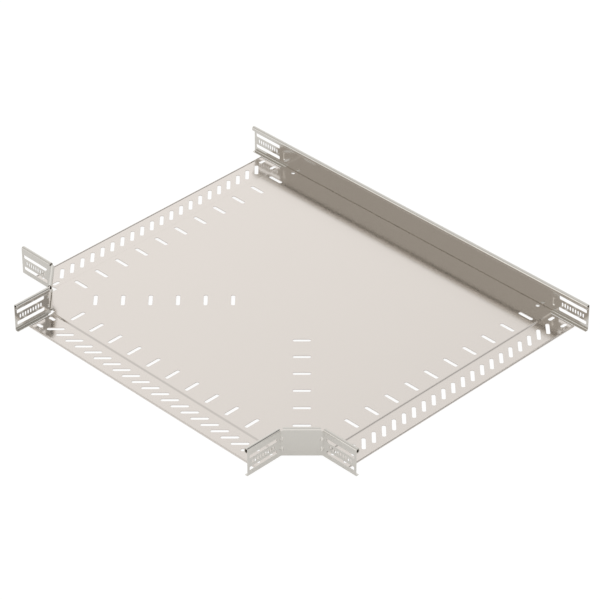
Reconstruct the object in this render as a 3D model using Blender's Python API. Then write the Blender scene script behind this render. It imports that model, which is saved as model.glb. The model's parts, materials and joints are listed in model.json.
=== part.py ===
"""Horizontal tee for a 600 mm wide cable tray, in perforated stainless sheet.

Four pieces of sheet metal: a floor plate with three stepped-down joint strips, each with its
outer edge curled under, a straight side rail along the back, and two folded corner rails. Each
rail is one strip of sheet with a flange under the floor, a web and a rolled hem, and it runs on
past the floor as slotted tongues that slide into the side rails of the next trays.

The run of the tray lies along X and the branch leaves towards -Y. The origin is on the upper
face of the floor, where the centre lines of the run and the branch cross.
"""
import math

import bmesh
import bpy
from mathutils import Matrix, Vector

MM = 0.001

# Sheet, and the clearances between the pieces
SHEET = 1.25 * MM
WELD_GAP = 0.3 * MM

# Plan of the tee: width between the rails, length of the corner plates, and what reaches out
CHANNEL_WIDTH = 595.0 * MM
CORNER_LENGTH = 70.0 * MM
TONGUE_LENGTH = 80.0 * MM
STRIP_LENGTH = 55.3 * MM
STRIP_END_GAP = 7.5 * MM

# The step down from the floor to each joint strip, before the end of the body
STEP_INSET = 1.6 * MM
STEP_RUN = 3.0 * MM
STEP_SEGMENTS = 4
NOTCH_LENGTH = 4.4 * MM

# The curl along the outer edge of each joint strip: the sheet lifts a little, then rolls under
CURL_RADIUS = 1.9 * MM
CURL_LIFT_RADIUS = 1.25 * MM
CURL_LIFT_ANGLE = math.radians(36)

# Section of the rails
RAIL_HEIGHT = 55.0 * MM
FLANGE_WIDTH = 20.0 * MM
TONGUE_LIP = 5.5 * MM
RELIEF_LIP = 2.2 * MM
FLANGE_TAPER = 12.0 * MM
LIP_TAPER = 3.0 * MM
FOLD_RADIUS = 1.25 * MM
HEM_WIDTH = 8.0 * MM
HEM_DROP = 2.0 * MM
HEM_RETURN_RADIUS = 3.6 * MM
HEM_RETURN_ANGLE = math.radians(100)

# Bends of the corner rails, their hem notches and their pressed gussets
CORNER_RADIUS = 2.0 * MM
HEM_NOTCH = 1.5 * MM
GUSSET_DEPTH = 2.2 * MM
GUSSET_REACH = 6.0 * MM
GUSSET_SHOULDER = 0.75
GUSSET_HEIGHTS = (14.5 * MM, 34.7 * MM)
GUSSET_HALF_HEIGHT = 4.5 * MM

# Pressed stop bead at each end of the back rail
BEAD_INSET = 3.0 * MM
BEAD_WIDTH = 9.0 * MM
BEAD_BOTTOM = 15.0 * MM
BEAD_TOP = 33.0 * MM
BEAD_SHOULDER = 2.0 * MM
BEAD_DEPTH = 1.5 * MM

# Slots of the tongues
TONGUE_SLOT_ROOT_INSET = 11.0 * MM
TONGUE_SLOT_END_INSET = 4.5 * MM
TONGUE_SLOT_HEIGHT = 23.7 * MM
TONGUE_SLOT_RISE = 12.4 * MM
LONG_SLOT_WIDTH = 7.5 * MM
LONG_SLOT_CORNER = 2.0 * MM
SMALL_ROW_INSET = 7.8 * MM
SMALL_SLOT_PITCH = 6.1 * MM
SMALL_SLOT_HEIGHT = 8.5 * MM
SMALL_SLOT_WIDTH = 3.6 * MM

# Slots and holes of the floor plate
SLOT_LENGTH = 32.0 * MM
SLOT_WIDTH = 7.2 * MM
SLOT_CORNER = 3.0 * MM
STRIP_SLOT_PITCH = 25.0 * MM
STRIP_SLOT_INSET = 28.3 * MM
FLOOR_SLOT_PITCH = 50.0 * MM
FLOOR_ROW_INSET = 26.0 * MM
ROW_END_MARGIN = 30.0 * MM
DIAGONAL_INSET = 81.0 * MM
DIAGONAL_COUNT = 6
END_SLOT_INSETS = (15.3 * MM, 44.8 * MM)
END_SLOT_SIDE_INSET = 19.0 * MM
END_SLOT_LENGTH = 15.0 * MM
END_SLOT_WIDTH = 7.2 * MM
DRAIN_HOLE_DIAMETER = 8.0 * MM
DRAIN_HOLE_INSET = 33.0 * MM
DRAIN_HOLE_SIDE_INSET = 6.9 * MM

# Segments of each rounded shape
CORNER_SEGMENTS = 3
LIFT_SEGMENTS = 2
CURL_SEGMENTS = 9
HEM_SEGMENTS = 8
RETURN_SEGMENTS = 4
FOLD_SEGMENTS = 3

# Sizes that follow from the ones above
UNDERSIDE = -(2 * SHEET + WELD_GAP)
STEP_DOWN = SHEET + WELD_GAP
CHANNEL_HALF = CHANNEL_WIDTH / 2
CORNER_CUT = CORNER_LENGTH * math.sqrt(0.5)
CORNER_DISTANCE = (2 * CHANNEL_HALF + CORNER_CUT) * math.sqrt(0.5)
BODY_HALF = CHANNEL_HALF + CORNER_CUT
STEP_START = BODY_HALF - STEP_INSET
NOTCH_START = STEP_START - NOTCH_LENGTH
STRIP_HALF = CHANNEL_HALF - STRIP_END_GAP
STRIP_REACH = BODY_HALF + STRIP_LENGTH
HEM_RADIUS = HEM_WIDTH / 2
ROLL_START = RAIL_HEIGHT - HEM_RADIUS
LONG_SLOT_LENGTH = TONGUE_LENGTH - TONGUE_SLOT_ROOT_INSET - TONGUE_SLOT_END_INSET
TONGUE_SLOT_CENTRE = TONGUE_SLOT_ROOT_INSET + LONG_SLOT_LENGTH / 2
SMALL_SLOT_COUNT = 1 + int((LONG_SLOT_LENGTH - 2 * SMALL_ROW_INSET) / SMALL_SLOT_PITCH)
CUTTER_REACH = 10 * SHEET


def straight(length, stops=1):
    """A straight move of a walk, with this many points along it."""
    return ("straight", length, stops)


def bend(radius, angle, segments):
    """A bend of a walk: positive angles turn left."""
    return ("bend", radius, angle, segments)


def walk(point, heading, moves):
    """Points and headings along straight and bent moves, starting point included."""
    point = Vector(point)
    stations = [(point.copy(), heading)]
    for move in moves:
        if move[0] == "straight":
            _, length, stops = move
            for _ in range(stops):
                point += Vector((math.cos(heading), math.sin(heading))) * length / stops
                stations.append((point.copy(), heading))
        else:
            _, radius, angle, segments = move
            side = math.copysign(1, angle)
            centre = point + side * radius * Vector((-math.sin(heading), math.cos(heading)))
            for _ in range(segments):
                heading += angle / segments
                point = centre + side * radius * Vector((math.sin(heading), -math.cos(heading)))
                stations.append((point.copy(), heading))
    return stations


def rail_outline(lip, rows, press):
    """Closed section of a rail as (outward, up) points, seen with the tray to the left.

    lip is how far the flange reaches inwards. rows are (height, share) pairs: at each height the
    web has a point, pressed outwards by that share of press.
    """
    neutral = FOLD_RADIUS + SHEET / 2
    hem_neutral = HEM_RADIUS - SHEET / 2
    web_bottom = UNDERSIDE + SHEET + FOLD_RADIUS
    moves = [straight(lip - FOLD_RADIUS), bend(neutral, math.pi / 2, FOLD_SEGMENTS)]
    level = web_bottom
    for height, _ in rows:
        moves.append(straight(height - level))
        level = height
    moves.append(straight(ROLL_START - level))
    moves.append(bend(hem_neutral, math.pi, HEM_SEGMENTS))
    moves.append(straight(HEM_DROP))
    moves.append(bend(HEM_RETURN_RADIUS, HEM_RETURN_ANGLE, RETURN_SEGMENTS))
    line = walk((-lip, UNDERSIDE + SHEET / 2), 0.0, moves)
    first_row = 1 + 1 + FOLD_SEGMENTS
    shares = {first_row + index: share for index, (_, share) in enumerate(rows)}
    outer = []
    inner = []
    for index, (point, heading) in enumerate(line):
        left = Vector((-math.sin(heading), math.cos(heading)))
        pressed = point + Vector((shares.get(index, 0.0) * press, 0.0))
        outer.append(pressed - left * SHEET / 2)
        inner.append(pressed + left * SHEET / 2)
    return outer + inner[::-1]


def loft(name, loops):
    """One closed body through equal loops of points, with its two ends capped."""
    mesh_builder = bmesh.new()
    rings = [[mesh_builder.verts.new(point) for point in loop] for loop in loops]
    for first, second in zip(rings, rings[1:]):
        for index in range(len(first)):
            after = (index + 1) % len(first)
            mesh_builder.faces.new((first[index], first[after], second[after], second[index]))
    mesh_builder.faces.new(rings[0][::-1])
    mesh_builder.faces.new(rings[-1])
    bmesh.ops.recalc_face_normals(mesh_builder, faces=mesh_builder.faces)
    return to_object(name, mesh_builder)


def to_object(name, mesh_builder):
    """An object in the scene with the mesh that was built."""
    mesh = bpy.data.meshes.new(name)
    mesh_builder.to_mesh(mesh)
    mesh_builder.free()
    piece = bpy.data.objects.new(name, mesh)
    bpy.context.scene.collection.objects.link(piece)
    return piece


def rounded_slot(length, width, corner, segments):
    """Outline of a slot along X: corner equal to half the width gives full round ends."""
    points = []
    for quadrant in range(4):
        across = 1 if quadrant in (0, 3) else -1
        up = 1 if quadrant in (0, 1) else -1
        centre = Vector((across * (length / 2 - corner), up * (width / 2 - corner)))
        for step in range(segments + 1):
            angle = (quadrant + step / segments) * math.pi / 2
            points.append(centre + corner * Vector((math.cos(angle), math.sin(angle))))
    unique = []
    for point in points:
        if not unique or (point - unique[-1]).length > SHEET / 1000:
            unique.append(point)
    if (unique[0] - unique[-1]).length < SHEET / 1000:
        unique.pop()
    return unique


def add_prism(mesh_builder, outline, place, depth):
    """A closed prism of the outline, in a cutter, reaching depth to both sides of its plane."""
    rings = []
    for offset in (-depth, depth):
        ring = [mesh_builder.verts.new(place @ Vector((x, y, offset))) for x, y in outline]
        rings.append(ring)
    low, high = rings
    mesh_builder.faces.new(low[::-1])
    mesh_builder.faces.new(high)
    for index in range(len(low)):
        after = (index + 1) % len(low)
        mesh_builder.faces.new((low[index], low[after], high[after], high[index]))


def cut_away(piece, cutter):
    """Subtract the cutter, which stays hidden in the file, from the piece."""
    cutter.hide_render = True
    cutter.display_type = "WIRE"
    cutter.parent = piece
    modifier = piece.modifiers.new("punched_" + cutter.name, "BOOLEAN")
    modifier.operation = "DIFFERENCE"
    modifier.solver = "EXACT"
    modifier.object = cutter


def stainless(name, colour, roughness):
    """Principled material of mill-finished stainless sheet."""
    material = bpy.data.materials.new(name)
    material.use_nodes = True
    shader = material.node_tree.nodes["Principled BSDF"]
    shader.inputs["Base Color"].default_value = (*colour, 1.0)
    shader.inputs["Metallic"].default_value = 1.0
    shader.inputs["Roughness"].default_value = roughness
    return material


def turned(angle, x, y):
    """Point of a wing in the tee's plan: x is outwards and y sideways on the wing."""
    return Vector((x * math.cos(angle) - y * math.sin(angle), x * math.sin(angle) + y * math.cos(angle)))


def floor_place(x, y, angle):
    """Matrix that lays a slot's outline flat at a point of the floor."""
    return Matrix.Translation((x, y, 0.0)) @ Matrix.Rotation(angle, 4, "Z")


WING_ANGLES = (0.0, math.pi, -math.pi / 2)


def row_places(pitch):
    """Places of a row's slots to both sides of a wing's centre line."""
    count = int((STRIP_HALF - ROW_END_MARGIN) / pitch)
    return [index * pitch for index in range(-count, count + 1)]


def ease(share):
    """Smooth rise from 0 to 1, level at both ends."""
    return (3 - 2 * share) * share ** 2


def floor_outline():
    """Corners of the flat floor, anticlockwise, which stops where the rails' folds begin."""
    back = CHANNEL_HALF - FOLD_RADIUS
    corner = (CORNER_DISTANCE - FOLD_RADIUS) * math.sqrt(2) - NOTCH_START
    right = [
        (STRIP_HALF, -STEP_START),
        (STRIP_HALF, -NOTCH_START),
        (corner, -NOTCH_START),
        (NOTCH_START, -corner),
        (NOTCH_START, -STRIP_HALF),
        (STEP_START, -STRIP_HALF),
        (STEP_START, STRIP_HALF),
        (NOTCH_START, STRIP_HALF),
        (NOTCH_START, back),
    ]
    return right + [(-x, y) for x, y in reversed(right)]


def strip_profile():
    """Upper face of a joint strip as (reach, z) points, from the floor to the end of its curl."""
    shares = [index / STEP_SEGMENTS for index in range(STEP_SEGMENTS + 1)]
    step = [(STEP_START + share * STEP_RUN, -STEP_DOWN * ease(share)) for share in shares]
    lift = bend(CURL_LIFT_RADIUS, CURL_LIFT_ANGLE, LIFT_SEGMENTS)
    roll = bend(CURL_RADIUS, -(math.pi + CURL_LIFT_ANGLE), CURL_SEGMENTS)
    curl_start = CURL_RADIUS + (CURL_RADIUS + CURL_LIFT_RADIUS) * math.sin(CURL_LIFT_ANGLE)
    flat = STRIP_REACH - curl_start - step[-1][0]
    line = walk(step[-1], 0.0, [straight(flat), lift, roll])
    return step[:-1] + [(point.x, point.y) for point, _ in line]


def base_plate(material):
    """Floor plate: flat floor, three strips stepped down by one sheet, and all its slots."""
    builder = bmesh.new()
    corners = {}

    def vertex(x, y, z):
        key = (round(x / SHEET, 3), round(y / SHEET, 3), round(z / SHEET, 3))
        if key not in corners:
            corners[key] = builder.verts.new((x, y, z))
        return corners[key]

    builder.faces.new([vertex(x, y, 0.0) for x, y in floor_outline()])
    profile = strip_profile()
    for angle in WING_ANGLES:
        for near, far in zip(profile, profile[1:]):
            quad = []
            for (reach, z), side in ((near, -1), (far, -1), (far, 1), (near, 1)):
                place = turned(angle, reach, side * STRIP_HALF)
                quad.append(vertex(place.x, place.y, z))
            builder.faces.new(quad)
    bmesh.ops.recalc_face_normals(builder, faces=builder.faces)
    plate = to_object("base_plate", builder)
    if plate.data.polygons[0].normal.z < 0:
        plate.data.flip_normals()
    thickness = plate.modifiers.new("sheet", "SOLIDIFY")
    thickness.thickness = SHEET
    thickness.offset = -1.0
    thickness.use_even_offset = True
    cut_away(plate, plate_cutter())
    plate.data.materials.append(material)
    return plate


def plate_cutter():
    """Every slot and hole of the floor plate."""
    builder = bmesh.new()
    slot = rounded_slot(SLOT_LENGTH, SLOT_WIDTH, SLOT_CORNER, CORNER_SEGMENTS)
    end_slot = rounded_slot(END_SLOT_LENGTH, END_SLOT_WIDTH, END_SLOT_WIDTH / 2, CORNER_SEGMENTS)
    for angle in WING_ANGLES:
        for y in row_places(STRIP_SLOT_PITCH):
            place = turned(angle, STRIP_REACH - STRIP_SLOT_INSET, y)
            slant = angle + math.radians(135)
            add_prism(builder, slot, floor_place(place.x, place.y, slant), CUTTER_REACH)
        for y in row_places(FLOOR_SLOT_PITCH):
            place = turned(angle, BODY_HALF - FLOOR_ROW_INSET, y)
            add_prism(builder, slot, floor_place(place.x, place.y, angle), CUTTER_REACH)
        for inset in END_SLOT_INSETS:
            for side in (-1, 1):
                place = turned(angle, STRIP_REACH - inset, side * (CHANNEL_HALF - END_SLOT_SIDE_INSET))
                across = angle + math.pi / 2
                add_prism(builder, end_slot, floor_place(place.x, place.y, across), CUTTER_REACH)
    for angle in (math.radians(-45), math.radians(-135)):
        for index in range(DIAGONAL_COUNT):
            reach = CORNER_DISTANCE - DIAGONAL_INSET - index * FLOOR_SLOT_PITCH
            place = turned(angle, reach, 0.0)
            across = angle + math.pi / 2
            add_prism(builder, slot, floor_place(place.x, place.y, across), CUTTER_REACH)
    for side in (-1, 1):
        add_drain_hole(builder, side)
    return to_object("plate_slots", builder)


def add_drain_hole(builder, side):
    """Round hole through the floor and the rail's flange under it."""
    width = DRAIN_HOLE_DIAMETER
    outline = rounded_slot(width, width, width / 2, CORNER_SEGMENTS)
    x = side * (BODY_HALF - DRAIN_HOLE_INSET)
    place = floor_place(x, CHANNEL_HALF - DRAIN_HOLE_SIDE_INSET, 0.0)
    add_prism(builder, outline, place, CUTTER_REACH)


def add_tongue_slots(builder, root, along):
    """Two long slots with a row of small upright ones between, on a tongue that leaves root."""
    def place(reach, height):
        spot = root + along * reach
        up = Vector((0.0, 0.0, 1.0))
        axes = Matrix((along, up, along.cross(up))).transposed().to_4x4()
        return Matrix.Translation((spot.x, spot.y, height)) @ axes

    long_slot = rounded_slot(LONG_SLOT_LENGTH, LONG_SLOT_WIDTH, LONG_SLOT_CORNER, CORNER_SEGMENTS)
    small_corner = SMALL_SLOT_WIDTH / 2
    small_slot = rounded_slot(SMALL_SLOT_WIDTH, SMALL_SLOT_HEIGHT, small_corner, CORNER_SEGMENTS - 1)
    for side in (-1, 1):
        height = TONGUE_SLOT_HEIGHT + side * TONGUE_SLOT_RISE
        add_prism(builder, long_slot, place(TONGUE_SLOT_CENTRE, height), 2 * SHEET)
    for index in range(SMALL_SLOT_COUNT):
        reach = TONGUE_SLOT_CENTRE + (index - (SMALL_SLOT_COUNT - 1) / 2) * SMALL_SLOT_PITCH
        add_prism(builder, small_slot, place(reach, TONGUE_SLOT_HEIGHT), 2 * SHEET)


def back_rail(material):
    """Straight side rail, with a tongue at each end and a pressed stop bead before it."""
    rows = (
        (BEAD_BOTTOM, 0.0),
        (BEAD_BOTTOM + BEAD_SHOULDER, 1.0),
        (BEAD_TOP - BEAD_SHOULDER, 1.0),
        (BEAD_TOP, 0.0),
    )
    bead_start = BODY_HALF - BEAD_INSET - BEAD_WIDTH / 2
    bead_end = bead_start + BEAD_WIDTH
    taper_end = bead_start - SHEET
    half = [
        (taper_end - FLANGE_TAPER, FLANGE_WIDTH, 0.0),
        (taper_end, TONGUE_LIP, 0.0),
        (bead_start, TONGUE_LIP, 0.0),
        (bead_start + BEAD_SHOULDER, TONGUE_LIP, -BEAD_DEPTH),
        (bead_end - BEAD_SHOULDER, TONGUE_LIP, -BEAD_DEPTH),
        (bead_end, TONGUE_LIP, 0.0),
        (BODY_HALF + TONGUE_LENGTH, TONGUE_LIP, 0.0),
    ]
    stations = [(-x, lip, press) for x, lip, press in reversed(half)] + half
    loops = []
    for x, lip, press in stations:
        outline = rail_outline(lip, rows, press)
        loops.append([Vector((x, CHANNEL_HALF + outward, up)) for outward, up in outline])
    rail = loft("back_rail", loops)
    builder = bmesh.new()
    for side in (-1, 1):
        root = Vector((side * BODY_HALF, CHANNEL_HALF, 0.0))
        add_tongue_slots(builder, root, Vector((side, 0.0, 0.0)))
        add_drain_hole(builder, side)
    cut_away(rail, to_object("back_rail_slots", builder))
    rail.data.materials.append(material)
    return rail


def corner_rail(name, angle, material):
    """Folded corner rail, modelled facing -Y and turned to its corner."""
    rows = []
    for height in GUSSET_HEIGHTS:
        rows += [(height - GUSSET_HALF_HEIGHT, 0.0), (height, 1.0), (height + GUSSET_HALF_HEIGHT, 0.0)]
    inner_radius = CORNER_RADIUS + SHEET
    tangent = inner_radius * math.tan(math.radians(22.5))
    slope = Vector((math.sqrt(0.5), math.sqrt(0.5)))
    start = Vector((-CORNER_LENGTH / 2, -CORNER_DISTANCE)) - slope * TONGUE_LENGTH
    tongue = TONGUE_LENGTH - tangent - GUSSET_REACH - LIP_TAPER
    middle = CORNER_LENGTH - 2 * (tangent + GUSSET_REACH + FLANGE_TAPER)
    half_turn = bend(inner_radius, -math.radians(22.5), 1)
    moves = [straight(tongue), straight(LIP_TAPER), straight(GUSSET_REACH), half_turn, half_turn]
    moves += [straight(GUSSET_REACH), straight(FLANGE_TAPER)]
    lips = [TONGUE_LIP] * 2 + [RELIEF_LIP] * 5 + [FLANGE_WIDTH]
    presses = [0.0, 0.0, 0.0, GUSSET_SHOULDER, 1.0, GUSSET_SHOULDER, 0.0, 0.0]
    path = walk(start, math.pi / 4, moves + [straight(middle)] + moves[::-1])
    loops = []
    for (point, heading), lip, share in zip(path, lips + lips[::-1], presses + presses[::-1]):
        outward = Vector((math.sin(heading), -math.cos(heading)))
        outline = rail_outline(lip, rows, share * GUSSET_DEPTH)
        loops.append([Vector((*(point + outward * across), up)) for across, up in outline])
    rail = loft(name, loops)
    rail.rotation_euler.z = angle

    slots = bmesh.new()
    for side in (-1, 1):
        root = Vector((side * CORNER_LENGTH / 2, -CORNER_DISTANCE, 0.0))
        add_tongue_slots(slots, root, Vector((side * slope.x, -slope.y, 0.0)))
    cut_away(rail, to_object(name + "_slots", slots))

    hem_foot = ROLL_START - HEM_DROP - HEM_RETURN_RADIUS - 2 * SHEET
    notch = [
        (-2 * HEM_WIDTH, hem_foot),
        (-SHEET / 2, hem_foot),
        (-SHEET / 2, ROLL_START),
        (SHEET + CORNER_RADIUS / 2, ROLL_START),
        (SHEET + CORNER_RADIUS / 2, RAIL_HEIGHT + SHEET),
        (-2 * HEM_WIDTH, RAIL_HEIGHT + SHEET),
    ]
    for label, first, last in (("_left_notch", 3, 5), ("_right_notch", -6, -4)):
        ends = []
        for (point, heading), shift in ((path[first], -HEM_NOTCH), (path[last], HEM_NOTCH)):
            along = Vector((math.cos(heading), math.sin(heading)))
            outward = Vector((math.sin(heading), -math.cos(heading)))
            place = point + along * shift
            ends.append([Vector((*(place + outward * across), up)) for across, up in notch])
        cut_away(rail, loft(name + label, ends))
    rail.data.materials.append(material)
    return rail


def main():
    for old in list(bpy.data.objects):
        bpy.data.objects.remove(old, do_unlink=True)
    floor_steel = stainless("floor_steel", (0.62, 0.59, 0.56), 0.28)
    rail_steel = stainless("rail_steel", (0.60, 0.57, 0.54), 0.24)
    pieces = [
        base_plate(floor_steel),
        back_rail(rail_steel),
        corner_rail("left_corner_rail", math.radians(-45), rail_steel),
        corner_rail("right_corner_rail", math.radians(45), rail_steel),
    ]
    tee = bpy.data.objects.new("cable_tray_tee", None)
    bpy.context.scene.collection.objects.link(tee)
    for piece in pieces:
        piece.parent = tee
        piece.data.shade_smooth()
        piece.data.set_sharp_from_angle(angle=math.radians(30))


main()
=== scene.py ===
"""Looks of a cable tray tee: perforated stainless sheet on a white studio floor.

The run of the tray lies along X, the branch leaves towards -Y, and z = 0 is the upper face of the
floor plate. All lengths are in metres.
"""
import json
import math

import bmesh
import bpy
from mathutils import Matrix, Vector

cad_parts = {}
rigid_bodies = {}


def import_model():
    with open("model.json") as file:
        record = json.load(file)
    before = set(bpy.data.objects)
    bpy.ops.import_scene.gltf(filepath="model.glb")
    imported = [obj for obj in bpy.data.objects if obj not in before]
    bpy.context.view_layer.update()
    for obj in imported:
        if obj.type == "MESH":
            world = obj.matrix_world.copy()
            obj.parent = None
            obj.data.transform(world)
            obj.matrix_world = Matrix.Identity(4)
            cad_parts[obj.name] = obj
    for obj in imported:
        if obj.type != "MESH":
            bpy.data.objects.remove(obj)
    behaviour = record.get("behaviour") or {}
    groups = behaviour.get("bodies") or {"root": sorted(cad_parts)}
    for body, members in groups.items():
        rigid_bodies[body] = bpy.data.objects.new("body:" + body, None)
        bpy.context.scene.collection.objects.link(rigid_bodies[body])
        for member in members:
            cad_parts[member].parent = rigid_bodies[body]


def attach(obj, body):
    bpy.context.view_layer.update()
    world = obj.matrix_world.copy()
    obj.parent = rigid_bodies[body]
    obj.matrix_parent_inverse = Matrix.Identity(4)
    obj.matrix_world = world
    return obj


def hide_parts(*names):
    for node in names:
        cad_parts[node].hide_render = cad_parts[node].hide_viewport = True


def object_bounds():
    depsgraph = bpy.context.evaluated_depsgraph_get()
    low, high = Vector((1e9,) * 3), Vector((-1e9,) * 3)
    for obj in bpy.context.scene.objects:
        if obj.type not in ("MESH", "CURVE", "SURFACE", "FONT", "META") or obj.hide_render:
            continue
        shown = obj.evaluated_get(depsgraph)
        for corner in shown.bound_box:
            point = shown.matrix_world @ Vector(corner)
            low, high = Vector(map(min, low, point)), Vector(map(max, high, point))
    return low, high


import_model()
cad_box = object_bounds()


# Camera
# A long lens looks down into the tray from the open corner between the run and the branch, at
# 35 degrees, as a catalogue picture does. The aim is the middle of the floor plate.
CAMERA_AZIMUTH = math.radians(44.987)
CAMERA_ELEVATION = math.radians(35.03)
CAMERA_DISTANCE = 5.589
CAMERA_REACH = 50.0
LENS = 184.60
SENSOR = 36.0
SHIFT = (-0.00304, 0.00006)

to_camera = Vector((
    math.sin(CAMERA_AZIMUTH) * math.cos(CAMERA_ELEVATION),
    -math.cos(CAMERA_AZIMUTH) * math.cos(CAMERA_ELEVATION),
    math.sin(CAMERA_ELEVATION),
))
camera_data = bpy.data.cameras.new("camera")
camera_data.lens = LENS
camera_data.sensor_width = SENSOR
camera_data.shift_x, camera_data.shift_y = SHIFT
camera_data.clip_end = CAMERA_REACH
camera = bpy.data.objects.new("camera", camera_data)
camera.location = to_camera * CAMERA_DISTANCE
camera.rotation_euler = (-to_camera).to_track_quat("-Z", "Y").to_euler()
bpy.context.scene.collection.objects.link(camera)
bpy.context.scene.camera = camera
bpy.context.scene.view_settings.view_transform = "Standard"


# Studio
# The room is an even soft white, and the floor is white paper. Three soft cards make the room
# brighter and four flags make it darker. The camera sees plain white past the object, and only the
# steel shows the cards, the flags and the greyer paper, in its bends and in its flat faces.
ROOM_LEVEL = 0.80
# Each has its angle round from +X, its height above the horizon, the half angle of its even middle
# and the half angle at which it has faded out, in degrees, and then the light that it adds.
CARDS_AND_FLAGS = {
    "floor_card": (142, 22, 2, 26, (0.31, 0.31, 0.31)),
    "front_card": (-30, 25, 22, 50, (0.24, 0.24, 0.24)),
    "low_card": (248, 6, 8, 26, (0.55, 0.55, 0.55)),
    "horizon_flag": (43, 1, 7, 12, (-0.62, -0.62, -0.62)),
    "upper_flag": (54, 45, 5, 13, (-0.74, -0.74, -0.74)),
    "tongue_flag": (45, 35, 7, 12, (-0.29, -0.29, -0.29)),
    "web_flag": (225, 35, 7, 12, (-0.25, -0.268, -0.29)),
}
PAPER_SIZE = 40.0
PAPER_GLOW = 0.93
PAPER_SHADE = 0.13
PAPER_GLOW_REFLECTED = 0.455
PAPER_SHADE_REFLECTED = 0.45


def link(tree, source, target):
    """Join two shader sockets."""
    tree.links.new(source, target)


def seen_directly(tree):
    """Factor of 1 for what the camera sees straight or through glass."""
    path = tree.nodes.new("ShaderNodeLightPath")
    either = tree.nodes.new("ShaderNodeMath")
    either.operation = "MAXIMUM"
    link(tree, path.outputs["Is Camera Ray"], either.inputs[0])
    link(tree, path.outputs["Is Transmission Ray"], either.inputs[1])
    return either.outputs[0]


world = bpy.data.worlds.new("studio_room")
world.use_nodes = True
bpy.context.scene.world = world
room = world.node_tree
background = room.nodes["Background"]
direction = room.nodes.new("ShaderNodeTexCoord")
even = room.nodes.new("ShaderNodeCombineXYZ")
for socket in even.inputs:
    socket.default_value = ROOM_LEVEL
level = even.outputs[0]
for name, (*angles, light) in CARDS_AND_FLAGS.items():
    around, height, middle, faded = (math.radians(angle) for angle in angles)
    facing = room.nodes.new("ShaderNodeVectorMath")
    facing.name = name
    facing.operation = "DOT_PRODUCT"
    facing.inputs[1].default_value = (
        math.cos(around) * math.cos(height), math.sin(around) * math.cos(height), math.sin(height))
    share = room.nodes.new("ShaderNodeMapRange")
    share.interpolation_type = "SMOOTHSTEP"
    share.inputs["From Min"].default_value = math.cos(faded)
    share.inputs["From Max"].default_value = math.cos(middle)
    total = room.nodes.new("ShaderNodeVectorMath")
    total.operation = "MULTIPLY_ADD"
    total.inputs[1].default_value = light
    link(room, direction.outputs["Generated"], facing.inputs[0])
    link(room, facing.outputs["Value"], share.inputs["Value"])
    link(room, share.outputs["Result"], total.inputs[0])
    link(room, level, total.inputs[2])
    level = total.outputs[0]
shown = room.nodes.new("ShaderNodeMix")
shown.data_type = "RGBA"
shown.inputs["B"].default_value = (1.0, 1.0, 1.0, 1.0)
link(room, level, shown.inputs["A"])
link(room, seen_directly(room), shown.inputs["Factor"])
link(room, shown.outputs["Result"], background.inputs["Color"])

paper = bpy.data.materials.new("white_paper")
paper.use_nodes = True
sheet = paper.node_tree
sheet.nodes.clear()
output = sheet.nodes.new("ShaderNodeOutputMaterial")
matt = sheet.nodes.new("ShaderNodeBsdfDiffuse")
glow = sheet.nodes.new("ShaderNodeEmission")
both = sheet.nodes.new("ShaderNodeAddShader")
direct = seen_directly(sheet)
for target, direct_value, reflected_value in (
    (glow.inputs["Strength"], PAPER_GLOW, PAPER_GLOW_REFLECTED),
    (matt.inputs["Color"], PAPER_SHADE, PAPER_SHADE_REFLECTED),
):
    amount = sheet.nodes.new("ShaderNodeMapRange")
    amount.inputs["To Min"].default_value = reflected_value
    amount.inputs["To Max"].default_value = direct_value
    link(sheet, direct, amount.inputs["Value"])
    link(sheet, amount.outputs["Result"], target)
link(sheet, matt.outputs[0], both.inputs[0])
link(sheet, glow.outputs[0], both.inputs[1])
link(sheet, both.outputs[0], output.inputs["Surface"])

builder = bmesh.new()
bmesh.ops.create_grid(builder, x_segments=1, y_segments=1, size=PAPER_SIZE / 2)
floor_mesh = bpy.data.meshes.new("studio_floor")
builder.to_mesh(floor_mesh)
builder.free()
floor_mesh.materials.append(paper)
studio_floor = bpy.data.objects.new("studio_floor", floor_mesh)
studio_floor.location.z = cad_box[0].z
bpy.context.scene.collection.objects.link(studio_floor)


# Stainless sheet
# Every piece is cut from bright mill-finished stainless coil, 1.25 mm thick. The rolls leave a
# very fine grain along the coil, and handling leaves patches that are a little duller.
MM = 0.001
SHEET = 1.25 * MM
GRAIN_ALONG_X = (1.0, 60.0, 60.0)
GRAIN_DETAIL = 4.0
GRAIN_ROUGHNESS = 0.03
GRAIN_TINT = 0.015
GRAIN_DEPTH = 0.05 * MM
GRAIN_BUMP = 0.02
PATCH_DETAIL = 3.0
PATCH_DISTORTION = 0.6


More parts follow.
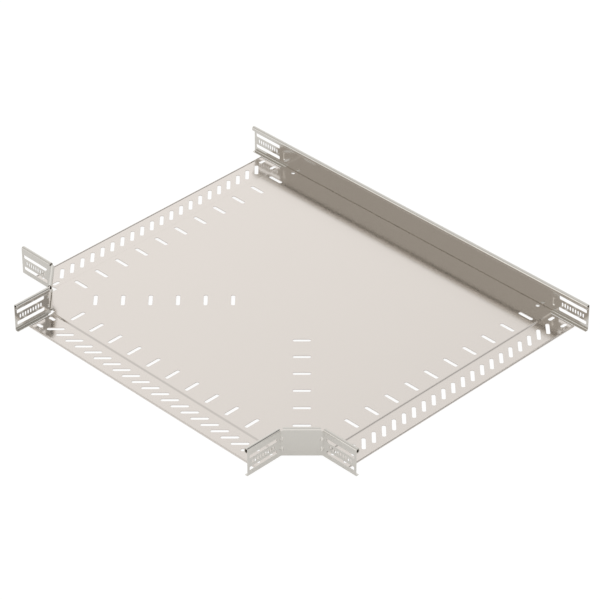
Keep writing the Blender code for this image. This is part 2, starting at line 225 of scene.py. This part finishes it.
def mill_finish():
    """Shader group for rolled sheet: fine grain along one axis, and cloudy dull patches."""
    group = bpy.data.node_groups.new("mill_finish", "ShaderNodeTree")
    inputs = (
        ("Colour", "NodeSocketColor", (0.7, 0.67, 0.63, 1.0)),
        ("Roughness", "NodeSocketFloat", 0.2),
        ("Grain Stretch", "NodeSocketVector", GRAIN_ALONG_X),
        ("Grain Scale", "NodeSocketFloat", 30.0),
        ("Patch Scale", "NodeSocketFloat", 6.0),
        ("Patch Strength", "NodeSocketFloat", 0.04),
    )
    for name, kind, value in inputs:
        socket = group.interface.new_socket(name, in_out="INPUT", socket_type=kind)
        socket.default_value = value
    outputs = (
        ("Colour", "NodeSocketColor"),
        ("Roughness", "NodeSocketFloat"),
        ("Height", "NodeSocketFloat"),
    )
    for name, kind in outputs:
        group.interface.new_socket(name, in_out="OUTPUT", socket_type=kind)
    nodes = group.nodes
    given = nodes.new("NodeGroupInput")
    made = nodes.new("NodeGroupOutput")
    place = nodes.new("ShaderNodeTexCoord")
    stretched = nodes.new("ShaderNodeVectorMath")
    stretched.operation = "MULTIPLY"
    grain = nodes.new("ShaderNodeTexNoise")
    grain.inputs["Detail"].default_value = GRAIN_DETAIL
    patches = nodes.new("ShaderNodeTexNoise")
    patches.inputs["Detail"].default_value = PATCH_DETAIL
    patches.inputs["Distortion"].default_value = PATCH_DISTORTION
    link(group, place.outputs["Object"], stretched.inputs[0])
    link(group, given.outputs["Grain Stretch"], stretched.inputs[1])
    link(group, stretched.outputs[0], grain.inputs["Vector"])
    link(group, given.outputs["Grain Scale"], grain.inputs["Scale"])
    link(group, place.outputs["Object"], patches.inputs["Vector"])
    link(group, given.outputs["Patch Scale"], patches.inputs["Scale"])

    uneven = nodes.new("ShaderNodeMath")
    uneven.operation = "SUBTRACT"
    uneven.inputs[1].default_value = 0.5
    link(group, patches.outputs["Fac"], uneven.inputs[0])
    spread = nodes.new("ShaderNodeMath")
    spread.operation = "MULTIPLY_ADD"
    link(group, uneven.outputs[0], spread.inputs[0])
    link(group, given.outputs["Patch Strength"], spread.inputs[1])
    link(group, given.outputs["Roughness"], spread.inputs[2])
    streaked = nodes.new("ShaderNodeMath")
    streaked.operation = "MULTIPLY_ADD"
    streaked.inputs[1].default_value = GRAIN_ROUGHNESS
    link(group, grain.outputs["Fac"], streaked.inputs[0])
    link(group, spread.outputs[0], streaked.inputs[2])
    link(group, streaked.outputs[0], made.inputs["Roughness"])

    tint = nodes.new("ShaderNodeMapRange")
    tint.inputs["To Min"].default_value = 1 - GRAIN_TINT
    tint.inputs["To Max"].default_value = 1 + GRAIN_TINT
    link(group, grain.outputs["Fac"], tint.inputs["Value"])
    tinted = nodes.new("ShaderNodeVectorMath")
    tinted.operation = "SCALE"
    link(group, given.outputs["Colour"], tinted.inputs[0])
    link(group, tint.outputs["Result"], tinted.inputs["Scale"])
    link(group, tinted.outputs[0], made.inputs["Colour"])
    link(group, grain.outputs["Fac"], made.inputs["Height"])
    return group


def steel(name, colour, roughness, grain_stretch):
    """Metal material that takes its unevenness from the mill finish group."""
    material = bpy.data.materials.new(name)
    material.use_nodes = True
    tree = material.node_tree
    shader = tree.nodes["Principled BSDF"]
    shader.inputs["Metallic"].default_value = 1.0
    finish = tree.nodes.new("ShaderNodeGroup")
    finish.node_tree = bpy.data.node_groups.get("mill_finish") or mill_finish()
    finish.inputs["Colour"].default_value = (*colour, 1.0)
    finish.inputs["Roughness"].default_value = roughness
    finish.inputs["Grain Stretch"].default_value = grain_stretch
    bump = tree.nodes.new("ShaderNodeBump")
    bump.inputs["Strength"].default_value = GRAIN_BUMP
    bump.inputs["Distance"].default_value = GRAIN_DEPTH
    link(tree, finish.outputs["Colour"], shader.inputs["Base Color"])
    link(tree, finish.outputs["Roughness"], shader.inputs["Roughness"])
    link(tree, finish.outputs["Height"], bump.inputs["Height"])
    link(tree, bump.outputs["Normal"], shader.inputs["Normal"])
    return material


# Floor plate
# One blank of sheet, punched with all its slots, with its three open sides stepped down by one
# sheet so that the floor of the next tray lies level on them, and their edges curled under. It is
# spot-welded to the rails.
CHANNEL_HALF = 297.5 * MM
CORNER_LENGTH = 70.0 * MM
CORNER_CUT = CORNER_LENGTH * math.sqrt(0.5)
CORNER_DISTANCE = (2 * CHANNEL_HALF + CORNER_CUT) * math.sqrt(0.5)
BODY_HALF = CHANNEL_HALF + CORNER_CUT
FOLD_RADIUS = 1.25 * MM
WELD_GAP = 0.3 * MM
STEP_INSET = 2.0 * MM
STEP_START = BODY_HALF - STEP_INSET
STEP_RUN = 3.8 * MM
STEP_DOWN = SHEET + WELD_GAP
STEP_SEGMENTS = 12
NOTCH_DEPTH = 4.4 * MM
NOTCH_START = STEP_START - NOTCH_DEPTH
STRIP_INSET = 7.5 * MM
STRIP_HALF = CHANNEL_HALF - STRIP_INSET
STRIP_LENGTH = 55.3 * MM
STRIP_REACH = BODY_HALF + STRIP_LENGTH
CURL_RADIUS = 1.9 * MM
CURL_SEGMENTS = 20
CURL_LIFT_RADIUS = 1.25 * MM
CURL_LIFT_ANGLE = math.radians(46)
CURL_LIFT_SEGMENTS = 4
WING_ANGLES = (0.0, math.pi, -math.pi / 2)
SLOT_ARC_STEPS = 8
SAME_PLACE = 0.001 * MM
PUNCH_ROLL = 0.2 * MM
SHARP_ANGLE = math.radians(40)


def turned(angle, x, y):
    """Point of a wing in plan: x is outwards and y sideways on the wing."""
    cosine = math.cos(angle)
    sine = math.sin(angle)
    return Vector((x * cosine - y * sine, x * sine + y * cosine, 0.0))


def add_object(name, builder):
    """An object in the scene with the mesh that was built."""
    mesh = bpy.data.meshes.new(name)
    builder.to_mesh(mesh)
    builder.free()
    piece = bpy.data.objects.new(name, mesh)
    bpy.context.scene.collection.objects.link(piece)
    return piece


def smooth(share):
    """Rise from 0 to 1 that is level at both ends."""
    share = min(max(share, 0.0), 1.0)
    return (3 - 2 * share) * share * share


def ahead(heading):
    """Unit vector along a heading."""
    return Vector((math.cos(heading), math.sin(heading)))


def leftward(heading):
    """Unit vector square to a heading, on its left."""
    return Vector((-math.sin(heading), math.cos(heading)))


def walk(point, heading, moves):
    """Points and headings along (length, stops) moves and (radius, angle, segments) bends."""
    point = Vector(point)
    stations = [(point.copy(), heading)]
    for move in moves:
        if len(move) == 2:
            length, stops = move
            for _ in range(stops):
                point += ahead(heading) * length / stops
                stations.append((point.copy(), heading))
            continue
        radius, angle, segments = move
        side = math.copysign(1, angle)
        centre = point + side * radius * leftward(heading)
        for _ in range(segments):
            heading += angle / segments
            point = centre - side * radius * leftward(heading)
            stations.append((point.copy(), heading))
    return stations


def strip_profile():
    """Upper face of a joint strip as (reach, z) points, from the floor to the end of its curl."""
    shares = [index / STEP_SEGMENTS for index in range(STEP_SEGMENTS + 1)]
    step = [(STEP_START + share * STEP_RUN, -STEP_DOWN * smooth(share)) for share in shares]
    curl_start = CURL_RADIUS + (CURL_RADIUS + CURL_LIFT_RADIUS) * math.sin(CURL_LIFT_ANGLE)
    line = walk(step[-1], 0.0, [
        (STRIP_REACH - curl_start - step[-1][0], 1),
        (CURL_LIFT_RADIUS, CURL_LIFT_ANGLE, CURL_LIFT_SEGMENTS),
        (CURL_RADIUS, -(math.pi + CURL_LIFT_ANGLE), CURL_SEGMENTS),
    ])
    return step[:-1] + [(point.x, point.y) for point, _ in line]


def plate_blank():
    """The folded blank before punching, as a closed sheet."""
    builder = bmesh.new()
    corners = {}

    def vertex(x, y, z):
        key = (round(x / SHEET, 3), round(y / SHEET, 3), round(z / SHEET, 3))
        if key not in corners:
            corners[key] = builder.verts.new((x, y, z))
        return corners[key]

    corner = (CORNER_DISTANCE - FOLD_RADIUS) * math.sqrt(2) - NOTCH_START
    right = [
        (STRIP_HALF, -STEP_START), (STRIP_HALF, -NOTCH_START), (corner, -NOTCH_START),
        (NOTCH_START, -corner), (NOTCH_START, -STRIP_HALF), (STEP_START, -STRIP_HALF),
        (STEP_START, STRIP_HALF), (NOTCH_START, STRIP_HALF),
        (NOTCH_START, CHANNEL_HALF - FOLD_RADIUS),
    ]
    outline = right + [(-x, y) for x, y in reversed(right)]
    builder.faces.new([vertex(x, y, 0.0) for x, y in outline])
    profile = strip_profile()
    for angle in WING_ANGLES:
        for near, far in zip(profile, profile[1:]):
            quad = []
            for (reach, z), side in ((near, -1), (far, -1), (far, 1), (near, 1)):
                place = turned(angle, reach, side * STRIP_HALF)
                quad.append(vertex(place.x, place.y, z))
            builder.faces.new(quad)
    bmesh.ops.recalc_face_normals(builder, faces=builder.faces)
    if sum(face.normal.z for face in builder.faces) < 0:
        bmesh.ops.reverse_faces(builder, faces=builder.faces)
    blank = add_object("floor_plate", builder)
    thickness = blank.modifiers.new("sheet", "SOLIDIFY")
    thickness.thickness = SHEET
    thickness.offset = -1.0
    thickness.use_even_offset = True
    return blank


def slot_points(length, width, corner, grow=0.0):
    """Outline of a slot along X with rounded corners, grown all round."""
    points = []
    for quadrant in range(4):
        across = 1 if quadrant in (0, 3) else -1
        up = 1 if quadrant in (0, 1) else -1
        centre = Vector((across * (length / 2 - corner), up * (width / 2 - corner)))
        for step in range(SLOT_ARC_STEPS + 1):
            angle = (quadrant + step / SLOT_ARC_STEPS) * math.pi / 2
            point = centre + (corner + grow) * ahead(angle)
            if not points or (point - points[-1]).length > SAME_PLACE:
                points.append(point)
    if (points[0] - points[-1]).length < SAME_PLACE:
        points.pop()
    return points


def punch_tool(name, length, width, corner):
    """Punch for one slot: it rolls the upper edge over a little and leaves a square lower edge."""
    # Each ring has its height over the upper face and how far it lies outside the slot.
    rings = [
        (3 * PUNCH_ROLL, PUNCH_ROLL), (0.0, PUNCH_ROLL), (-0.3 * PUNCH_ROLL, 0.4 * PUNCH_ROLL),
        (-PUNCH_ROLL, 0.0), (-2 * SHEET, 0.0),
    ]
    builder = bmesh.new()
    loops = []
    for height, grow in rings:
        outline = slot_points(length, width, corner, grow)
        loops.append([builder.verts.new((point.x, point.y, height)) for point in outline])
    builder.faces.new(loops[0])
    builder.faces.new(loops[-1][::-1])
    for upper, lower in zip(loops, loops[1:]):
        for index in range(len(upper)):
            after = (index + 1) % len(upper)
            builder.faces.new((upper[index], lower[index], lower[after], upper[after]))
    tool = add_object(name, builder)
    tool.hide_render = True
    tool.hide_viewport = True
    return tool


def row_group():
    """Geometry Nodes group that repeats a punch at even pitch along a line."""
    group = bpy.data.node_groups.new("row_of_punches", "GeometryNodeTree")
    sockets = (
        ("Punch", "NodeSocketObject", None),
        ("Count", "NodeSocketInt", 1),
        ("First", "NodeSocketVector", (0.0, 0.0, 0.0)),
        ("Step", "NodeSocketVector", (0.0, 0.0, 0.0)),
        ("Turn", "NodeSocketFloat", 0.0),
    )
    for name, kind, value in sockets:
        socket = group.interface.new_socket(name, in_out="INPUT", socket_type=kind)
        if value is not None:
            socket.default_value = value
    group.interface.new_socket("Punches", in_out="OUTPUT", socket_type="NodeSocketGeometry")
    nodes = group.nodes
    given = nodes.new("NodeGroupInput")
    made = nodes.new("NodeGroupOutput")
    line = nodes.new("GeometryNodeMeshLine")
    line.mode = "OFFSET"
    punch = nodes.new("GeometryNodeObjectInfo")
    turn = nodes.new("ShaderNodeCombineXYZ")
    placed = nodes.new("GeometryNodeInstanceOnPoints")
    link(group, given.outputs["Count"], line.inputs["Count"])
    link(group, given.outputs["First"], line.inputs["Start Location"])
    link(group, given.outputs["Step"], line.inputs["Offset"])
    link(group, given.outputs["Punch"], punch.inputs["Object"])
    link(group, given.outputs["Turn"], turn.inputs["Z"])
    link(group, line.outputs["Mesh"], placed.inputs["Points"])
    link(group, punch.outputs["Geometry"], placed.inputs["Instance"])
    link(group, turn.outputs["Vector"], placed.inputs["Rotation"])
    link(group, placed.outputs["Instances"], made.inputs["Punches"])
    return group


def punch_rows(name, blank, material, rows):
    """Cut rows of slots out of a blank with Geometry Nodes, and keep the result as a plain mesh.

    Each row is (punch, count, first, step, turn, place), where place is the whole row's matrix.
    """
    tree = bpy.data.node_groups.new(name, "GeometryNodeTree")
    tree.interface.new_socket("Blank", in_out="INPUT", socket_type="NodeSocketGeometry")
    finish = tree.interface.new_socket("Finish", in_out="INPUT", socket_type="NodeSocketMaterial")
    tree.interface.new_socket("Punched", in_out="OUTPUT", socket_type="NodeSocketGeometry")
    given = tree.nodes.new("NodeGroupInput")
    made = tree.nodes.new("NodeGroupOutput")
    gathered = tree.nodes.new("GeometryNodeJoinGeometry")
    real = tree.nodes.new("GeometryNodeRealizeInstances")
    cut = tree.nodes.new("GeometryNodeMeshBoolean")
    cut.operation = "DIFFERENCE"
    cut.solver = "EXACT"
    painted = tree.nodes.new("GeometryNodeSetMaterial")
    for punch, count, first, step, turn, place in rows:
        row = tree.nodes.new("GeometryNodeGroup")
        row.node_tree = bpy.data.node_groups.get("row_of_punches") or row_group()
        row.inputs["Punch"].default_value = punch
        row.inputs["Count"].default_value = count
        row.inputs["First"].default_value = first
        row.inputs["Step"].default_value = step
        row.inputs["Turn"].default_value = turn
        moved = tree.nodes.new("GeometryNodeTransform")
        moved.inputs["Translation"].default_value = place.to_translation()
        moved.inputs["Rotation"].default_value = place.to_euler()
        link(tree, row.outputs["Punches"], moved.inputs["Geometry"])
        link(tree, moved.outputs["Geometry"], gathered.inputs["Geometry"])
    link(tree, gathered.outputs["Geometry"], real.inputs["Geometry"])
    link(tree, given.outputs["Blank"], cut.inputs["Mesh 1"])
    link(tree, real.outputs["Geometry"], cut.inputs["Mesh 2"])
    link(tree, cut.outputs["Mesh"], painted.inputs["Geometry"])
    link(tree, given.outputs["Finish"], painted.inputs["Material"])
    link(tree, painted.outputs["Geometry"], made.inputs["Punched"])
    modifier = blank.modifiers.new(name, "NODES")
    modifier.node_group = tree
    modifier[finish.identifier] = material
    shaped = blank.evaluated_get(bpy.context.evaluated_depsgraph_get())
    mesh = bpy.data.meshes.new_from_object(shaped)
    blank.modifiers.clear()
    blank.data = mesh
    mesh.shade_smooth()
    mesh.set_sharp_from_angle(angle=SHARP_ANGLE)
    even = blank.modifiers.new("even_shading", "WEIGHTED_NORMAL")
    even.keep_sharp = True
    return blank


FLOOR_COLOUR = (0.72, 0.672, 0.628)
FLOOR_ROUGHNESS = 0.14
# A slot has its length, its width and the radius of its corners.
SLOT_SIZE = (32.0 * MM, 7.2 * MM, 3.0 * MM)
END_SLOT_SIZE = (15.0 * MM, 7.2 * MM, 3.6 * MM)
DRAIN_SIZE = (8.0 * MM, 8.0 * MM, 4.0 * MM)
floor_steel = steel("floor_steel", FLOOR_COLOUR, FLOOR_ROUGHNESS, GRAIN_ALONG_X)
slot_punch = punch_tool("slot_punch", *SLOT_SIZE)
end_punch = punch_tool("end_punch", *END_SLOT_SIZE)
drain_punch = punch_tool("drain_punch", *DRAIN_SIZE)

STRIP_SLOTS = 21
STRIP_PITCH = 25.0 * MM
STRIP_SLOT_INSET = 28.3 * MM
STRIP_SLOT_LEAN = math.radians(135)
EDGE_SLOTS = 11
FLOOR_PITCH = 50.0 * MM
EDGE_SLOT_INSET = 26.0 * MM
END_SLOT_INSETS = (15.3 * MM, 44.8 * MM)
END_SLOT_MARGIN = 19.0 * MM
DIAGONAL_SLOTS = 6
DIAGONAL_INSET = 81.0 * MM
DIAGONAL_ANGLES = (math.radians(-45), math.radians(-135))
DRAIN_INSET = 33.0 * MM
DRAIN_MARGIN = 6.9 * MM

lowered = Matrix.Translation((0.0, 0.0, -STEP_DOWN))
rows = []
for angle in WING_ANGLES:
    wing = Matrix.Rotation(angle, 4, "Z")
    first = (STRIP_REACH - STRIP_SLOT_INSET, -(STRIP_SLOTS // 2) * STRIP_PITCH, 0.0)
    step = (0.0, STRIP_PITCH, 0.0)
    rows.append((slot_punch, STRIP_SLOTS, first, step, STRIP_SLOT_LEAN, lowered @ wing))
    first = (BODY_HALF - EDGE_SLOT_INSET, -(EDGE_SLOTS // 2) * FLOOR_PITCH, 0.0)
    rows.append((slot_punch, EDGE_SLOTS, first, (0.0, FLOOR_PITCH, 0.0), 0.0, wing))
    for inset in END_SLOT_INSETS:
        side = CHANNEL_HALF - END_SLOT_MARGIN
        first = (STRIP_REACH - inset, -side, 0.0)
        rows.append((end_punch, 2, first, (0.0, 2 * side, 0.0), math.pi / 2, lowered @ wing))
for angle in DIAGONAL_ANGLES:
    first = (CORNER_DISTANCE - DIAGONAL_INSET, 0.0, 0.0)
    step = (-FLOOR_PITCH, 0.0, 0.0)
    diagonal = Matrix.Rotation(angle, 4, "Z")
    rows.append((slot_punch, DIAGONAL_SLOTS, first, step, math.pi / 2, diagonal))
# The same two drain holes go through the floor and, lower down, through the back rail's flange.
drain_x = BODY_HALF - DRAIN_INSET
drain_y = CHANNEL_HALF - DRAIN_MARGIN
drain_row = (drain_punch, 2, (-drain_x, drain_y, 0.0), (2 * drain_x, 0.0, 0.0), 0.0)
rows.append((*drain_row, Matrix()))

plate = punch_rows("punched_floor", plate_blank(), floor_steel, rows)
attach(plate, "root")
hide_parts("base_plate")


# Back rail
# A strip of the same sheet, folded to a flange under the floor, a web and a hem rolled inwards.
# It runs past the floor at both ends as tongues, which slide inside the next trays' rails as far as
# the narrow bead that is pressed into the web at the root of each.
RAIL_HEIGHT = 55.0 * MM
UNDERSIDE = -(2 * SHEET + WELD_GAP)
FLANGE_WIDTH = 20.0 * MM
FLANGE_TAPER = 12.0 * MM
TONGUE_LIP = 5.5 * MM
TONGUE_LENGTH = 80.0 * MM
FOLD_SEGMENTS = 8
WEB_ROWS = 72
HEM_RADIUS = 4.0 * MM
HEM_SEGMENTS = 24
HEM_DROP = 2.0 * MM
HEM_RETURN_RADIUS = 3.6 * MM
HEM_RETURN_ANGLE = math.radians(100)
HEM_RETURN_SEGMENTS = 14
ROLL_START = RAIL_HEIGHT - HEM_RADIUS


def rail_section(lip, press=None, dent=None):
    """Closed section of a rail as (outward, up) points.

    press gives how far the web is pushed out at a height, and dent does so for its inner face only.
    """
    neutral = FOLD_RADIUS + SHEET / 2
    web_bottom = UNDERSIDE + SHEET + FOLD_RADIUS
    line = walk((-lip, UNDERSIDE + SHEET / 2), 0.0, [
        (lip - FOLD_RADIUS, 1),
        (neutral, math.pi / 2, FOLD_SEGMENTS),
        (ROLL_START - web_bottom, WEB_ROWS),
        (HEM_RADIUS - SHEET / 2, math.pi, HEM_SEGMENTS),
        (HEM_DROP, 1),
        (HEM_RETURN_RADIUS, HEM_RETURN_ANGLE, HEM_RETURN_SEGMENTS),
    ])
    web_start = FOLD_SEGMENTS + 2
    outer = []
    inner = []
    for index, (point, heading) in enumerate(line):
        left = leftward(heading)
        on_web = web_start <= index < web_start + WEB_ROWS
        pushed = point + Vector((press(point.y) if press and on_web else 0.0, 0.0))
        dented = pushed + Vector((dent(point.y) if dent and on_web else 0.0, 0.0))
        outer.append(pushed - left * SHEET / 2)
        inner.append(dented + left * SHEET / 2)
    return outer + inner[::-1]


def loft(name, loops):
    """One closed body through equal loops of points, with its two ends capped."""
    builder = bmesh.new()
    rings = [[builder.verts.new(point) for point in loop] for loop in loops]
    for first, second in zip(rings, rings[1:]):
        for index in range(len(first)):
            after = (index + 1) % len(first)
            builder.faces.new((first[index], first[after], second[after], second[index]))
    builder.faces.new(rings[0][::-1])
    builder.faces.new(rings[-1])
    bmesh.ops.recalc_face_normals(builder, faces=builder.faces)
    return add_object(name, builder)


LONG_SLOT_SIZE = (64.5 * MM, 7.5 * MM, 2.0 * MM)
SMALL_SLOT_SIZE = (3.6 * MM, 8.5 * MM, 1.8 * MM)
TONGUE_SLOT_CENTRE = 43.3 * MM
TONGUE_SLOT_HEIGHT = 23.7 * MM
TONGUE_SLOT_RISE = 12.4 * MM
SMALL_SLOTS = 9
SMALL_PITCH = 6.1 * MM
long_punch = punch_tool("long_punch", *LONG_SLOT_SIZE)
small_punch = punch_tool("small_punch", *SMALL_SLOT_SIZE)


def tongue_rows(root, along, outward):
    """Two long slots, and small upright ones between them, on the tongue that leaves root."""
    up = Vector((0.0, 0.0, 1.0))
    side = up.cross(outward)
    axes = Matrix((side, up, outward)).transposed().to_4x4()
    place = Matrix.Translation(root + outward * SHEET) @ axes
    centre = TONGUE_SLOT_CENTRE * side.dot(along)
    low = (centre, TONGUE_SLOT_HEIGHT - TONGUE_SLOT_RISE, 0.0)
    first = (centre - (SMALL_SLOTS // 2) * SMALL_PITCH, TONGUE_SLOT_HEIGHT, 0.0)
    return [
        (long_punch, 2, low, (0.0, 2 * TONGUE_SLOT_RISE, 0.0), 0.0, place),
        (small_punch, SMALL_SLOTS, first, (SMALL_PITCH, 0.0, 0.0), 0.0, place),
    ]


RAIL_COLOUR = (0.70, 0.676, 0.630)
RAIL_ROUGHNESS = 0.12
BEAD_INSET = 1.5 * MM
BEAD_PLACE = BODY_HALF - BEAD_INSET
BEAD_HALF = 2.75 * MM
BEAD_STEP = 0.25 * MM
BEAD_HEIGHTS = (12.5 * MM, 31.0 * MM)
BEAD_DEPTH = 0.95 * MM
BEAD_SHOULDER = 1.5 * MM
BEAD_FADE = 7.0 * MM


def bead_dent(x):
    """How far each height of the inner face is pushed out at this place along the rail."""
    share = smooth((BEAD_HALF - abs(abs(x) - BEAD_PLACE)) / BEAD_SHOULDER)

    def dent(height):
        low, high = BEAD_HEIGHTS
        rise = smooth((height - low) / BEAD_SHOULDER) * smooth((high - height) / BEAD_FADE)
        return BEAD_DEPTH * share * rise
    return dent


rail_steel = steel("rail_steel", RAIL_COLOUR, RAIL_ROUGHNESS, GRAIN_ALONG_X)
taper_end = BEAD_PLACE - BEAD_HALF - SHEET
half = [(taper_end - FLANGE_TAPER, FLANGE_WIDTH), (taper_end, TONGUE_LIP)]
bead_stops = round(2 * BEAD_HALF / BEAD_STEP) + 1
half += [(BEAD_PLACE - BEAD_HALF + index * BEAD_STEP, TONGUE_LIP) for index in range(bead_stops)]
half.append((BODY_HALF + TONGUE_LENGTH, TONGUE_LIP))
loops = []
for x, lip in [(-x, lip) for x, lip in reversed(half)] + half:
    outline = rail_section(lip, dent=bead_dent(x))
    loops.append([Vector((x, CHANNEL_HALF + outward, up)) for outward, up in outline])
rows = [(*drain_row, lowered)]
for side in (-1, 1):
    root = Vector((side * BODY_HALF, CHANNEL_HALF, 0.0))
    rows += tongue_rows(root, Vector((side, 0.0, 0.0)), Vector((0.0, 1.0, 0.0)))
rail = punch_rows("punched_back_rail", loft("back_side_rail", loops), rail_steel, rows)
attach(rail, "root")
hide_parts("back_rail")


# Corner rails
# Each inner corner has one strip folded twice by 45 degrees, with two pressed darts in each bend
# for stiffness. The rolled hem is cut away at the bends, so that it stays in three straight runs.
CORNER_RADIUS = 2.0 * MM
BEND_ANGLE = math.radians(45)
BEND_STEPS = 10
RELIEF_LIP = 2.2 * MM
LIP_TAPER = 3.0 * MM
HEM_NOTCH = 1.5 * MM
DART_REACH = 3.6 * MM
DART_EDGE = 1.2 * MM
DART_HEIGHTS = (14.5 * MM, 34.7 * MM)
DART_CREST = 3.4 * MM
DART_UPPER = 6.8 * MM
DART_LOWER = 1.2 * MM
DART_DEPTH = 3.0 * MM
DART_STEPS = 10


def dart_press(distance):
    """How far each height is pushed out at this distance from the middle of a bend."""
    def press(height):
        level = 0.0
        for centre in DART_HEIGHTS:
            from_crest = height - (centre - DART_CREST)
            slope = DART_UPPER if from_crest > 0 else -DART_LOWER
            level = max(level, 1 - from_crest / slope)
        return DART_DEPTH * level * smooth((DART_REACH - abs(distance)) / DART_EDGE)
    return press


def corner_rail(name, angle):
    """Folded rail, made facing -Y and turned to its corner."""
    inner_radius = CORNER_RADIUS + SHEET
    tangent = inner_radius * math.tan(BEND_ANGLE / 2)
    slope = Vector((math.sqrt(0.5), math.sqrt(0.5)))
    start = Vector((-CORNER_LENGTH / 2, -CORNER_DISTANCE)) - slope * TONGUE_LENGTH
    tongue = TONGUE_LENGTH - tangent - DART_REACH - LIP_TAPER
    middle = CORNER_LENGTH - 2 * (tangent + DART_REACH + FLANGE_TAPER)
    moves = [
        (tongue, 1), (LIP_TAPER, 1), (DART_REACH, DART_STEPS),
        (inner_radius, -BEND_ANGLE, BEND_STEPS), (DART_REACH, DART_STEPS), (FLANGE_TAPER, 1),
    ]
    path = walk(start, BEND_ANGLE, moves + [(middle, 1)] + moves[::-1])
    near_bend = 2 * DART_STEPS + BEND_STEPS + 1
    lips = [TONGUE_LIP] * 2 + [RELIEF_LIP] * near_bend + [FLANGE_WIDTH]
    half_bend = inner_radius * BEND_ANGLE / 2
    approach = [half_bend + index / DART_STEPS * DART_REACH for index in range(DART_STEPS, 0, -1)]
    arc = [abs(2 * index / BEND_STEPS - 1) * half_bend for index in range(BEND_STEPS + 1)]
    distances = [math.inf] * 2 + approach + arc + approach[::-1] + [math.inf]
    stations = zip(path, lips + lips[::-1], distances + distances[::-1])
    turn = Matrix.Rotation(angle, 3, "Z")

    def across_path(point, heading, outline):
        """The outline set square to the path at a point, and turned to the corner."""
        outward = -leftward(heading)
        return [turn @ Vector((*(point + outward * out), up)) for out, up in outline]

    loops = []
    for (point, heading), lip, distance in stations:
        loops.append(across_path(point, heading, rail_section(lip, press=dart_press(distance))))
    blank = loft(name, loops)

    hem_foot = ROLL_START - HEM_DROP - HEM_RETURN_RADIUS - 2 * SHEET
    over_top = RAIL_HEIGHT + SHEET
    past_hem = -4 * HEM_RADIUS
    past_web = SHEET + CORNER_RADIUS / 2
    notch = [
        (past_hem, hem_foot), (-SHEET / 2, hem_foot), (-SHEET / 2, ROLL_START),
        (past_web, ROLL_START), (past_web, over_top), (past_hem, over_top),
    ]
    bend_start = 2 + DART_STEPS
    bend_end = bend_start + BEND_STEPS
    for label, first, last in (("a", bend_start, bend_end), ("b", -1 - bend_end, -1 - bend_start)):
        ends = []
        for (point, heading), shift in ((path[first], -HEM_NOTCH), (path[last], HEM_NOTCH)):
            ends.append(across_path(point + ahead(heading) * shift, heading, notch))
        cutter = loft(name + "_notch_" + label, ends)
        cutter.hide_render = True
        cut = blank.modifiers.new("hem_notch_" + label, "BOOLEAN")
        cut.operation = "DIFFERENCE"
        cut.solver = "EXACT"
        cut.object = cutter

    rows = []
    for side in (-1, 1):
        root = turn @ Vector((side * CORNER_LENGTH / 2, -CORNER_DISTANCE, 0.0))
        along = turn @ Vector((side * slope.x, -slope.y, 0.0))
        rows += tongue_rows(root, along, turn @ Vector((-side * slope.x, -slope.y, 0.0)))
    return punch_rows("punched_" + name, blank, rail_steel, rows)


for side_name, angle in (("left", math.radians(-45)), ("right", math.radians(45))):
    rail = corner_rail(side_name + "_folded_rail", angle)
    for cutter in [o for o in bpy.data.objects if o.name.startswith(rail.name + "_notch")]:
        bpy.data.objects.remove(cutter)
    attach(rail, "root")
    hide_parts(side_name + "_corner_rail")

for tool in (slot_punch, end_punch, drain_punch, long_punch, small_punch):
    bpy.data.objects.remove(tool)
